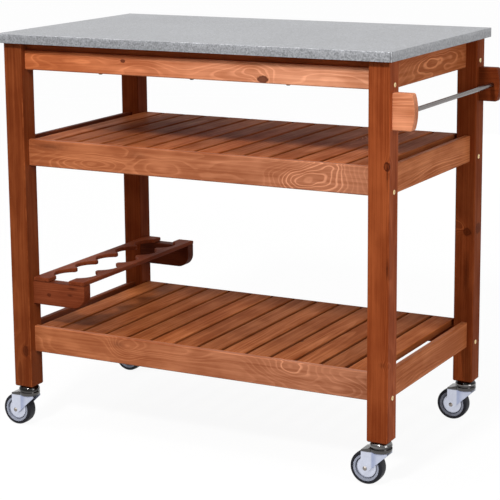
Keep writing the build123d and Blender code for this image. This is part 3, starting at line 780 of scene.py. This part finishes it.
def rebated_rail(node, slats):
    """A shelf's rear rail with a low lip along its back, which hides the ends of the slats."""
    low, high = (Vector(corner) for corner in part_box(node))
    slat_high = Vector(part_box(slats)[1])
    bpy.ops.object.select_all(action="DESELECT")
    bpy.ops.mesh.primitive_cube_add(size=1, location=(low + high) / 2, scale=high - low)
    piece = bpy.context.active_object
    piece.name = f"{node}_rebated"
    bpy.ops.object.transform_apply(location=True, rotation=True, scale=True)
    bpy.ops.object.mode_set(mode="EDIT")
    bpy.ops.mesh.select_all(action="SELECT")
    bpy.ops.mesh.bisect(plane_co=(0, slat_high.y + SLAT_END_GAP, 0), plane_no=(0, 1, 0))
    bpy.ops.mesh.select_mode(type="FACE")
    bpy.ops.mesh.select_all(action="DESELECT")
    bpy.ops.object.mode_set(mode="OBJECT")
    for face in piece.data.polygons:
        face.select = face.normal.z > 0.9 and face.center.y > slat_high.y + SLAT_END_GAP
    bpy.ops.object.mode_set(mode="EDIT")
    rise = slat_high.z - LIP_DROP - high.z
    bpy.ops.mesh.extrude_region_move(TRANSFORM_OT_translate={"value": (0, 0, rise)})
    bpy.ops.mesh.select_all(action="SELECT")
    bpy.ops.mesh.normals_make_consistent(inside=False)
    bpy.ops.mesh.select_mode(type="EDGE")
    bpy.ops.mesh.select_all(action="DESELECT")
    bpy.ops.mesh.edges_select_sharp(sharpness=math.radians(30))
    bpy.ops.mesh.bevel(offset=LIP_EASING, segments=2, affect="EDGES")
    bpy.ops.object.mode_set(mode="OBJECT")
    bpy.ops.object.shade_smooth_by_angle(angle=SMOOTH_ANGLE)
    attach(piece, "frame")
    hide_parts(node)
    return piece


class CART_OT_rebate_rear_rails(bpy.types.Operator):
    """Make the shelves' rear rails with the lip behind the slats, and stain them with the rear posts' darker
    colour, which is painted shade.
    """

    bl_idname = "cart.rebate_rear_rails"
    bl_label = "Rebate rear rails"

    def execute(self, context):
        stain = context.scene.cart.timber.post_rear_shaded
        for seed, level in ((22.7, "middle"), (23.7, "lower")):
            rail = f"{level}_rail_rear"
            piece = rebated_rail(rail, f"{level}_slats")
            wood_material(rail, "x", stain, None, (0.05, -0.03), (0.01, 0.01), seed, piece=piece)
        return {"FINISHED"}


class CART_OT_dress_slats(bpy.types.Operator):
    """Stain the slats of both shelves, board by board, the upper ones lighter and the lower ones darker as
    painted light and shade.
    """

    bl_idname = "cart.dress_slats"
    bl_label = "Dress shelf slats"

    def execute(self, context):
        timber = context.scene.cart.timber
        pith = (0.01, 0.045)
        lean = (0.01, 0.01)
        for seed, name, stain in (
            (41.0, "middle_slats", timber.slat_upper_painted_light),
            (61.0, "lower_slats", timber.slat_lower_painted_shade),
        ):
            boards = (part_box(name)[0][0] - (SLAT_PITCH - SLAT_WIDTH) / 2, SLAT_PITCH)
            wood_material(name, "y", stain, None, pith, lean, seed, gloss=0.015, boards=boards)
        return {"FINISHED"}


class CART_OT_dress_fittings(bpy.types.Operator):
    """Stain the bottle rack, the towel brackets, the battens, the cleats and the board."""

    bl_idname = "cart.dress_fittings"
    bl_label = "Dress small wood"

    def execute(self, context):
        timber = context.scene.cart.timber
        rack_pith = (0.04, 0.03)
        for name, stain, seed in (
            ("rack_bracket_front", timber.rack, 71.0),
            ("rack_bracket_rear", timber.rack_rear, 72.0),
        ):
            wood_material(name, "x", stain, None, rack_pith, (0.02, 0.02), seed)
        for name, stain, seed, gloss in (
            ("towel_bracket_front", timber.handle, 81.0, 0.1),
            ("towel_bracket_rear", timber.handle_rear, 82.0, 0.04),
        ):
            wood_material(name, "x", stain, None, (0.05, 0.03), (0.03, 0.03), seed, gloss=gloss)
        for name, seed in (("rack_rail_outer", 75.0), ("rack_rail_inner", 76.0)):
            wood_material(name, "y", timber.rack, None, rack_pith, (0.01, 0.01), seed)
        wood_material("slat_cleats", "y", timber.side, seed=91.0)
        wood_material("top_battens", "x", timber.post, seed=93.0)
        wood_material("rail_dowels", "x", timber.handle, seed=95.0)
        wood_material("top_board", "x", timber.handle, seed=97.0)
        return {"FINISHED"}


# Metal, plastic and rubber

def sheet_material():
    """Galvanised sheet: small zinc crystals, fine scuffs and a soft cloud, with a painted reflection that
    brightens the top and a painted highlight along the bend.
    """
    metal = bpy.context.scene.cart.metal
    material, shader, surface, place = new_material("galvanised_sheet")
    ripple = shader.noise(place, 260.0, 2.0, colour=True)
    bent = shader.vector("ADD", place, shader.vector("SCALE", ripple, scale=0.002))
    crystal = shader.add("ShaderNodeTexVoronoi", feature="F1")
    shader.feed(crystal.inputs["Vector"], bent)
    shader.feed(crystal.inputs["Scale"], 1 / metal.spangle)
    tone = shader.parts(crystal.outputs["Color"])[0]
    feather = shader.noise(shader.stretch(place, (620, 620, 240)), 1.0, 2.0, 0.6)
    cloud = shader.noise(place, 5.0, 3.0, 0.55)
    value = shader.total(
        1.0,
        shader.spread(tone, 0, 1, -0.24, 0.24, smooth=False),
        shader.spread(feather, 0.3, 0.7, -0.16, 0.16),
        shader.spread(cloud, 0.3, 0.7, -0.03, 0.03),
    )

    # Painted reflection: the level top is made brighter than the rims, a painted highlight runs along the
    # bend between them, and the rims meet in a seam
    centre = middle("top_sheet")
    half = size("top_sheet") / 2
    inwards = shader.vector("ABSOLUTE", shader.vector("SUBTRACT", place, tuple(centre)))
    x, y, _ = shader.parts(shader.vector("SUBTRACT", tuple(half), inwards))
    upwards = shader.parts(shader.add("ShaderNodeTexCoord").outputs["Normal"])[2]
    painted_top_light = shader.spread(upwards, 0.90, 0.995)
    low = shader.spread(shader.parts(place)[2], centre.z, centre.z + half.z * 0.7)
    bend = shader.product(low, shader.spread(shader.maths("MINIMUM", x, y), 0.0012, 0.0034, 1.0, 0.0), 0.14)
    from_seam = shader.maths("ABSOLUTE", shader.total(shader.maths("MAXIMUM", x, y), -0.0031))
    at_corner = shader.spread(shader.maths("MAXIMUM", x, y), 0.006, 0.008, 1.0, 0.0)
    seam = shader.product(shader.spread(from_seam, 0.0004, 0.0012, 0.5, 0.0), at_corner)
    value = shader.product(
        value,
        shader.total(0.92, shader.product(painted_top_light, 0.34), bend),
        shader.maths("SUBTRACT", 1.0, seam),
    )
    shader.feed(surface.inputs["Base Color"], shader.shade(tuple(metal.sheet), value))
    surface.inputs["Metallic"].default_value = 1.0
    shader.feed(surface.inputs["Roughness"], shader.spread(tone, 0, 1, 0.40, 0.52, smooth=False))
    shader.feed(surface.inputs["Normal"], shader.bump(shader.total(feather, tone), 0.00008, 0.12))
    return material


def plated_material(name, colour, rough, mottle=0.04):
    """Plated steel, polished by its pressing and a little uneven."""
    material, shader, surface, place = new_material(name)
    patch = shader.noise(place, 60.0, 3.0, 0.6)
    value = shader.spread(patch, 0.3, 0.7, 1.0 - mottle, 1.0 + mottle)
    shader.feed(surface.inputs["Base Color"], shader.shade(tuple(colour), value))
    shader.feed(surface.inputs["Roughness"], shader.spread(patch, 0.3, 0.7, rough - 0.04, rough + 0.06))
    surface.inputs["Metallic"].default_value = 1.0
    fine = shader.noise(place, 1500.0, 2.0)
    shader.feed(surface.inputs["Normal"], shader.bump(fine, 0.00005, 0.3))
    return material


def fork_material(thing, metal):
    """Pressed fork: plated legs, with a painted bluish shade behind the bend of each leg, and a smoother
    crown darkened as a painted reflection.
    """
    material, shader, surface, place = new_material(f"{thing.name}_zinc")
    low = ends(thing.bound_box)[0]
    x, _, z = shader.parts(shader.vector("SUBTRACT", place, tuple(low)))
    patch = shader.noise(place, 60.0, 3.0, 0.6)
    value = shader.spread(patch, 0.3, 0.7, 0.96, 1.04)
    # Painted shade: a bluish darker band just behind each leg's bend
    bend = shader.product(shader.spread(x, 0.021, 0.026), shader.spread(x, 0.026, 0.040, 1.0, 0.35))
    plate = shader.mix(bend, tuple(metal.zinc), tuple(metal.bend))
    # Painted reflection: the crown is darkened for the dark wood it mirrors, and made smoother
    crown = shader.spread(z, 0.0455, 0.0480)
    plate = shader.mix(crown, plate, tuple(metal.crown))
    shader.feed(surface.inputs["Base Color"], shader.shade(plate, value))
    shader.feed(surface.inputs["Roughness"], shader.spread(crown, 0.0, 1.0, 0.42, 0.16, smooth=False))
    surface.inputs["Metallic"].default_value = 1.0
    shader.feed(surface.inputs["Normal"], shader.bump(shader.noise(place, 1500.0, 2.0), 0.00005, 0.3))
    return material


def reflection_banded_material(name, colour):
    """Turned steel with painted reflections: bands of light and dark round it stand for what it mirrors."""
    material, shader, surface, place = new_material(name)
    ring = shader.noise(shader.stretch(place, (6, 6, 230)), 1.0, 1.0)
    value = shader.spread(ring, 0.38, 0.62, 0.10, 1.0)
    shader.feed(surface.inputs["Base Color"], shader.shade(tuple(colour), value))
    surface.inputs["Roughness"].default_value = 0.14
    surface.inputs["Metallic"].default_value = 1.0
    return material


def hub_material(thing, colour, painted_gap_shadow, rough):
    """Moulded hub, with a painted shadow round its cap, where the cap and the hub meet."""
    material, shader, surface, place = new_material(f"{thing.name}_plastic")
    low, high = ends(thing.bound_box)
    from_centre = shader.vector("SUBTRACT", place, tuple((low + high) / 2))
    from_axle = shader.vector("MULTIPLY", from_centre, (1, 0, 1))
    radius = shader.vector("LENGTH", from_axle)
    dust = shader.spread(shader.noise(place, 35.0, 3.0, 0.6), 0.3, 0.7, 0.92, 1.10)
    value = shader.product(dust, shader.spread(radius, painted_gap_shadow - 0.0008, painted_gap_shadow + 0.0006, 0.16, 1.0))
    shader.feed(surface.inputs["Base Color"], shader.shade(tuple(colour), value))
    surface.inputs["Roughness"].default_value = rough
    surface.inputs["Specular IOR Level"].default_value = 0.3
    shader.feed(surface.inputs["Normal"], shader.bump(shader.noise(place, 2200.0, 2.0), 0.0001, 0.35))
    return material


def drawn_material(name, colour):
    """Drawn bar, with fine scratches along Y."""
    material, shader, surface, place = new_material(name)
    scratch = shader.noise(shader.stretch(place, (2200, 14, 2200)), 1.0, 3.0, 0.6)
    value = shader.spread(scratch, 0.3, 0.7, 0.86, 1.12)
    shader.feed(surface.inputs["Base Color"], shader.shade(tuple(colour), value))
    shader.feed(surface.inputs["Roughness"], shader.spread(scratch, 0.3, 0.7, 0.18, 0.30))
    surface.inputs["Metallic"].default_value = 1.0
    shader.feed(surface.inputs["Normal"], shader.bump(scratch, 0.00004, 0.4))
    return material


def moulded_material(name, colour, rough):
    """Moulded plastic or rubber with a fine grain and a little dust."""
    material, shader, surface, place = new_material(name)
    dust = shader.noise(place, 35.0, 3.0, 0.6)
    value = shader.spread(dust, 0.3, 0.7, 0.92, 1.12)
    shader.feed(surface.inputs["Base Color"], shader.shade(tuple(colour), value))
    shader.feed(surface.inputs["Roughness"], shader.spread(dust, 0.3, 0.7, rough - 0.06, rough + 0.06))
    surface.inputs["Specular IOR Level"].default_value = 0.2
    fine = shader.noise(place, 2200.0, 2.0)
    shader.feed(surface.inputs["Normal"], shader.bump(fine, 0.0001, 0.35))
    return material


class CART_OT_dress_metal(bpy.types.Operator):
    """Finish the top sheet, the bar and the casters' steel."""

    bl_idname = "cart.dress_metal"
    bl_label = "Dress metal"

    def execute(self, context):
        metal = context.scene.cart.metal
        dress([NODES["top_sheet"]], sheet_material())
        dress([NODES["towel_bar"]], drawn_material("drawn_steel_bar", metal.bar))
        for corner in CORNERS:
            fork = NODES[f"fork_{corner}"]
            dress([fork], fork_material(fork, metal))
        bright = plated_material("bright_zinc", metal.zinc, 0.42)
        dress([NODES[f"caps_{corner}"] for corner in CORNERS], bright)
        dull = plated_material("dull_rivet", metal.rivet, 0.45)
        dress([NODES[f"axle_{corner}"] for corner in CORNERS], dull)
        turned_steel = [NODES[f"stem_{corner}"] for corner in CORNERS] + [NODES["stem_sockets"]]
        dress(turned_steel, reflection_banded_material("turned_steel", metal.steel))
        return {"FINISHED"}


class CART_OT_dress_wheels(bpy.types.Operator):
    """Finish the tyres and hubs."""

    bl_idname = "cart.dress_wheels"
    bl_label = "Dress wheels"

    def execute(self, context):
        wheel = context.scene.cart.wheel
        rubber = moulded_material("tyre_rubber", wheel.tyre, 0.55)
        dress([NODES[f"tyre_{corner}"] for corner in CORNERS], rubber)
        for corner in CORNERS:
            hub = NODES[f"hub_{corner}"]
            dress([hub], hub_material(hub, wheel.hub, wheel.painted_gap_shadow, 0.45))
        return {"FINISHED"}


# Screws

SCREW_SIDES = 20


def turned(name, profile, sides):
    """A solid turned about Z: a disc, extruded and resized from one radius and height to the next."""
    (radius, height), *steps = profile
    bpy.ops.object.select_all(action="DESELECT")
    base = (0, 0, height)
    bpy.ops.mesh.primitive_circle_add(vertices=sides, radius=radius, fill_type="NGON", location=base)
    piece = bpy.context.active_object
    piece.name = name
    bpy.ops.object.transform_apply(location=True, rotation=True, scale=True)
    bpy.ops.object.mode_set(mode="EDIT")
    bpy.ops.mesh.select_all(action="SELECT")
    for next_radius, next_height in steps:
        rise = (0, 0, next_height - height)
        bpy.ops.mesh.extrude_region_move(TRANSFORM_OT_translate={"value": rise})
        ratio = next_radius / radius
        bpy.ops.transform.resize(value=(ratio, ratio, 1), center_override=(0, 0, next_height))
        radius, height = next_radius, next_height
    bpy.ops.mesh.select_all(action="SELECT")
    bpy.ops.mesh.normals_make_consistent(inside=False)
    bpy.ops.object.mode_set(mode="OBJECT")
    return piece


def cut_cross(piece, length, width, depth, top):
    """Sinks a crossed recess into the head of a screw, narrower at its bottom."""
    for angle in (0, math.radians(90)):
        bpy.ops.object.select_all(action="DESELECT")
        bpy.ops.mesh.primitive_cube_add(size=1, location=(0, 0, top), scale=(length, width, depth * 2))
        cutter = bpy.context.active_object
        bpy.ops.object.transform_apply(location=True, rotation=True, scale=True)
        bpy.ops.object.mode_set(mode="EDIT")
        bpy.ops.mesh.select_mode(type="VERT")
        bpy.ops.mesh.select_all(action="DESELECT")
        bpy.ops.object.mode_set(mode="OBJECT")
        for vertex in cutter.data.vertices:
            vertex.select = vertex.co.z < top
        bpy.ops.object.mode_set(mode="EDIT")
        bpy.ops.transform.resize(value=(0.35, 0.7, 1), center_override=(0, 0, top - depth))
        bpy.ops.object.mode_set(mode="OBJECT")
        cutter.data.transform(Matrix.Rotation(angle, 4, "Z"))
        bpy.ops.object.select_all(action="DESELECT")
        piece.select_set(True)
        bpy.context.view_layer.objects.active = piece
        boolean = piece.modifiers.new("recess", "BOOLEAN")
        boolean.operation = "DIFFERENCE"
        boolean.object = cutter
        boolean.solver = "EXACT"
        bpy.ops.object.modifier_apply(modifier=boolean.name)
        bpy.data.objects.remove(cutter)


def threaded(shank, length, pitch, bare):
    """Radii and heights of a screw's point and thread, up to the bare share of its length under the head."""
    root = shank * 0.72
    point = shank * 2.4
    profile = [(shank * 0.1, -length), (root, point - length)]
    height = point - length + pitch / 2
    while height < -length * bare:
        profile += [(shank, height), (root, height + pitch / 2)]
        height += pitch
    return profile + [(shank, height)]


def sunk_screw(name, shank, head, dome, sink, length, pitch):
    """A countersunk screw along Z, head up, with its seat at Z = 0."""
    profile = threaded(shank, length, pitch, 0.4) + [
        (shank, -sink),
        (head, 0.0),
        (head * 0.96, dome * 0.35),
        (head * 0.80, dome * 0.72),
        (head * 0.50, dome * 0.95),
        (head * 0.20, dome),
    ]
    screw = turned(name, profile, SCREW_SIDES)
    cut_cross(screw, head * 1.25, head * 0.24, dome + sink * 0.6, dome)
    return screw


def pan_screw(name, shank, head, dome, length, pitch):
    """A pan head screw along Z, head up, with its seat at Z = 0."""
    profile = threaded(shank, length, pitch, 0.5) + [
        (shank, 0.0),
        (head, 0.0),
        (head, dome * 0.35),
        (head * 0.88, dome * 0.72),
        (head * 0.62, dome * 0.95),
        (head * 0.20, dome),
    ]
    screw = turned(name, profile, SCREW_SIDES)
    cut_cross(screw, head * 1.1, head * 0.22, dome * 1.2, dome)
    return screw


def seat_screws(node, screw, dome, material):
    """Puts a copy of a screw where each solid of a node is, and lets them stand for the node."""
    copies = []
    for number, points in enumerate(solids(node)):
        low, high = ends(points)
        span = high - low
        axis = max(range(3), key=lambda index: span[index])
        centre = (low + high) / 2
        across = {1: 0.0, -1: 0.0}
        for point in points:
            end = 1 if point[axis] > centre[axis] else -1
            out = point - centre
            out[axis] = 0
            across[end] = max(across[end], out.length)
        end = 1 if across[1] > across[-1] else -1
        direction = Vector((0, 0, 0))
        direction[axis] = end
        seat = centre.copy()
        seat[axis] = (high if end > 0 else low)[axis] - end * dome
        copy = screw.copy()
        copy.data = screw.data.copy()
        bpy.context.scene.collection.objects.link(copy)
        turn = Matrix.Rotation(math.radians(37 * number), 4, "Z")
        facing = direction.to_track_quat("Z", "Y").to_matrix().to_4x4()
        copy.data.transform(Matrix.Translation(seat) @ facing @ turn)
        copies.append(copy)
    bpy.data.objects.remove(screw)
    bpy.ops.object.select_all(action="DESELECT")
    for copy in copies:
        copy.select_set(True)
    bpy.context.view_layer.objects.active = copies[0]
    bpy.ops.object.join()
    piece = bpy.context.active_object
    piece.name = f"{node}_turned"
    bpy.ops.object.shade_smooth_by_angle(angle=SMOOTH_ANGLE)
    dress([piece], material)
    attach(piece, "frame")
    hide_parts(node)


class CART_OT_turn_screws(bpy.types.Operator):
    """Make the screws, with thread and a crossed recess in each head."""

    bl_idname = "cart.turn_screws"
    bl_label = "Turn screws"

    def execute(self, context):
        metal = context.scene.cart.metal
        made = context.scene.cart.screws
        gold = plated_material("yellow_zinc", metal.gold, 0.22)
        black = plated_material("black_screw", metal.black, 0.35)
        for node in ("frame_screws", "rack_screws", "towel_screws"):
            first = solids(node)[0]
            length = max(point.x for point in first) - min(point.x for point in first) - made.dome
            sizes = (made.shank, made.head, made.dome, made.sink, length, made.pitch)
            seat_screws(node, sunk_screw(f"{node}_master", *sizes), made.dome, gold)
        cleat = sunk_screw("cleat_master", 0.0018, 0.0036, 0.0004, 0.0018, 0.030, 0.0022)
        seat_screws("cleat_screws", cleat, 0.0004, gold)
        pan = pan_screw("pan_master", 0.002, 0.005, 0.003, 0.0765, 0.0024)
        seat_screws("top_screws", pan, 0.003, black)
        return {"FINISHED"}


# Stage

def background_share(shader):
    """One for the rays that show the background, and nought for those that light the object."""
    rays = shader.add("ShaderNodeLightPath").outputs
    seen = shader.maths("MAXIMUM", rays["Is Camera Ray"], rays["Is Glossy Ray"])
    return shader.maths("MAXIMUM", seen, rays["Is Transmission Ray"])


def add_floor(radius):
    """A round white floor that keeps the object's shadow."""
    bpy.ops.object.select_all(action="DESELECT")
    bpy.ops.mesh.primitive_circle_add(vertices=96, radius=radius, fill_type="NGON")
    floor = bpy.context.active_object
    floor.name = "floor"
    material, shader, surface, place = new_material("white_floor")
    surface.inputs["Base Color"].default_value = (0.38, 0.38, 0.38, 1)
    surface.inputs["Roughness"].default_value = 0.9
    surface.inputs["Specular IOR Level"].default_value = 0.0
    distance = shader.vector("LENGTH", place)
    glow = shader.add("ShaderNodeEmission")
    shader.feed(glow.inputs["Strength"], shader.spread(distance, 2.0, 6.0, 1.13, BACKGROUND_TONE))
    share = shader.add("ShaderNodeMixShader")
    shown = shader.spread(distance, 2.0, 6.0, 0.82, 1.0)
    shader.feed(share.inputs[0], shader.product(background_share(shader), shown))
    shader.feed(share.inputs[1], surface.outputs[0])
    shader.feed(share.inputs[2], glow.outputs[0])
    shader.feed(material.node_tree.nodes["Material Output"].inputs["Surface"], share.outputs[0])
    dress([floor], material)


def add_sky(horizon, zenith):
    """A white surround that lights softly, more from above, and shows as white."""
    world = bpy.data.worlds.new("studio")
    bpy.context.scene.world = world
    world.use_nodes = True
    shader = Shader(world.node_tree)
    back = world.node_tree.nodes["Background"]
    back.inputs["Color"].default_value = (1, 1, 1, 1)
    shown = background_share(shader)
    upwards = shader.parts(shader.add("ShaderNodeTexCoord").outputs["Generated"])[2]
    light = shader.spread(upwards, 0.0, 1.0, horizon, zenith, smooth=False)
    light = shader.product(light, shader.maths("SUBTRACT", 1.0, shown))
    shader.feed(back.inputs["Strength"], shader.total(light, shader.product(shown, BACKGROUND_TONE)))


def add_lamp(name, target, direction, distance, width, share, gloss=True):
    """A square soft lamp that faces its target. Share is what it gives a surface there, where 1 is white,
    and a lamp without gloss shows in no reflection."""
    data = bpy.data.lights.new(name, "AREA")
    data.shape = "SQUARE"
    data.size = width
    data.energy = share * (math.pi * distance) ** 2
    lamp = bpy.data.objects.new(name, data)
    bpy.context.scene.collection.objects.link(lamp)
    direction = Vector(direction).normalized()
    lamp.location = target + direction * distance
    lamp.rotation_mode = "QUATERNION"
    lamp.rotation_quaternion = direction.to_track_quat("Z", "Y")
    lamp.visible_glossy = gloss


class CART_OT_set_stage(bpy.types.Operator):
    """Add the floor, the light and the camera."""

    bl_idname = "cart.set_stage"
    bl_label = "Set stage"

    def execute(self, context):
        stage = context.scene.cart.stage
        context.scene.view_settings.view_transform = "Standard"
        add_floor(30.0)
        add_sky(stage.horizon, stage.zenith)
        centre = (cad_low + cad_high) / 2
        add_lamp("key_lamp", centre, (0.05, -0.755, 0.655), 4.5, 0.5, stage.key)
        add_lamp("right_lamp", centre, (0.93, -0.28, 0.24), 4.5, 1.6, stage.right)
        add_lamp("left_lamp", centre, (-0.565, -0.30, 0.77), 4.0, 0.5, stage.left)
        add_lamp("back_lamp", centre, (-0.25, 0.96, 0.05), 4.5, 1.6, stage.back, gloss=False)
        data = bpy.data.cameras.new("camera")
        camera = bpy.data.objects.new("camera", data)
        context.scene.collection.objects.link(camera)
        context.scene.camera = camera
        data.sensor_width = 36
        data.lens = stage.focal_length
        data.shift_y = stage.rise
        data.clip_end = 200
        look = Vector((
            -math.sin(stage.turn) * math.cos(stage.dip),
            math.cos(stage.turn) * math.cos(stage.dip),
            -math.sin(stage.dip),
        ))
        camera.location = stage.eye
        camera.rotation_mode = "QUATERNION"
        camera.rotation_quaternion = look.to_track_quat("-Z", "Y") @ Quaternion((0, 0, 1), stage.roll)
        return {"FINISHED"}


class CART_PT_panel(bpy.types.Panel):
    """Lists the cart's steps and settings."""

    bl_label = "Side cart"
    bl_idname = "CART_PT_panel"
    bl_space_type = "VIEW_3D"
    bl_region_type = "UI"
    bl_category = "Cart"

    def draw(self, context):
        for operator in OPERATORS:
            self.layout.operator(operator.bl_idname)
        cart = context.scene.cart
        for settings in (cart.timber, cart.metal, cart.screws, cart.wheel, cart.stage):
            box = self.layout.box()
            for name in settings.bl_rna.properties.keys():
                if name not in ("rna_type", "name"):
                    box.prop(settings, name)


SETTINGS = (CartTimber, CartMetal, CartScrews, CartWheel, CartStage, CartSettings)
OPERATORS = (
    CART_OT_set_stage,
    CART_OT_dress_posts,
    CART_OT_dress_rails,
    CART_OT_rebate_rear_rails,
    CART_OT_dress_slats,
    CART_OT_dress_fittings,
    CART_OT_dress_metal,
    CART_OT_dress_wheels,
    CART_OT_turn_screws,
)


def register():
    for kind in (*SETTINGS, *OPERATORS, CART_PT_panel):
        bpy.utils.register_class(kind)
    bpy.types.Scene.cart = PointerProperty(type=CartSettings)


def unregister():
    del bpy.types.Scene.cart
    for kind in reversed((*SETTINGS, *OPERATORS, CART_PT_panel)):
        bpy.utils.unregister_class(kind)


def main():
    register()
    knot_group()
    edge_group()
    wood_group()
    for operator in OPERATORS:
        module, name = operator.bl_idname.split(".")
        getattr(getattr(bpy.ops, module), name)()


if __name__ == "__main__":
    main()
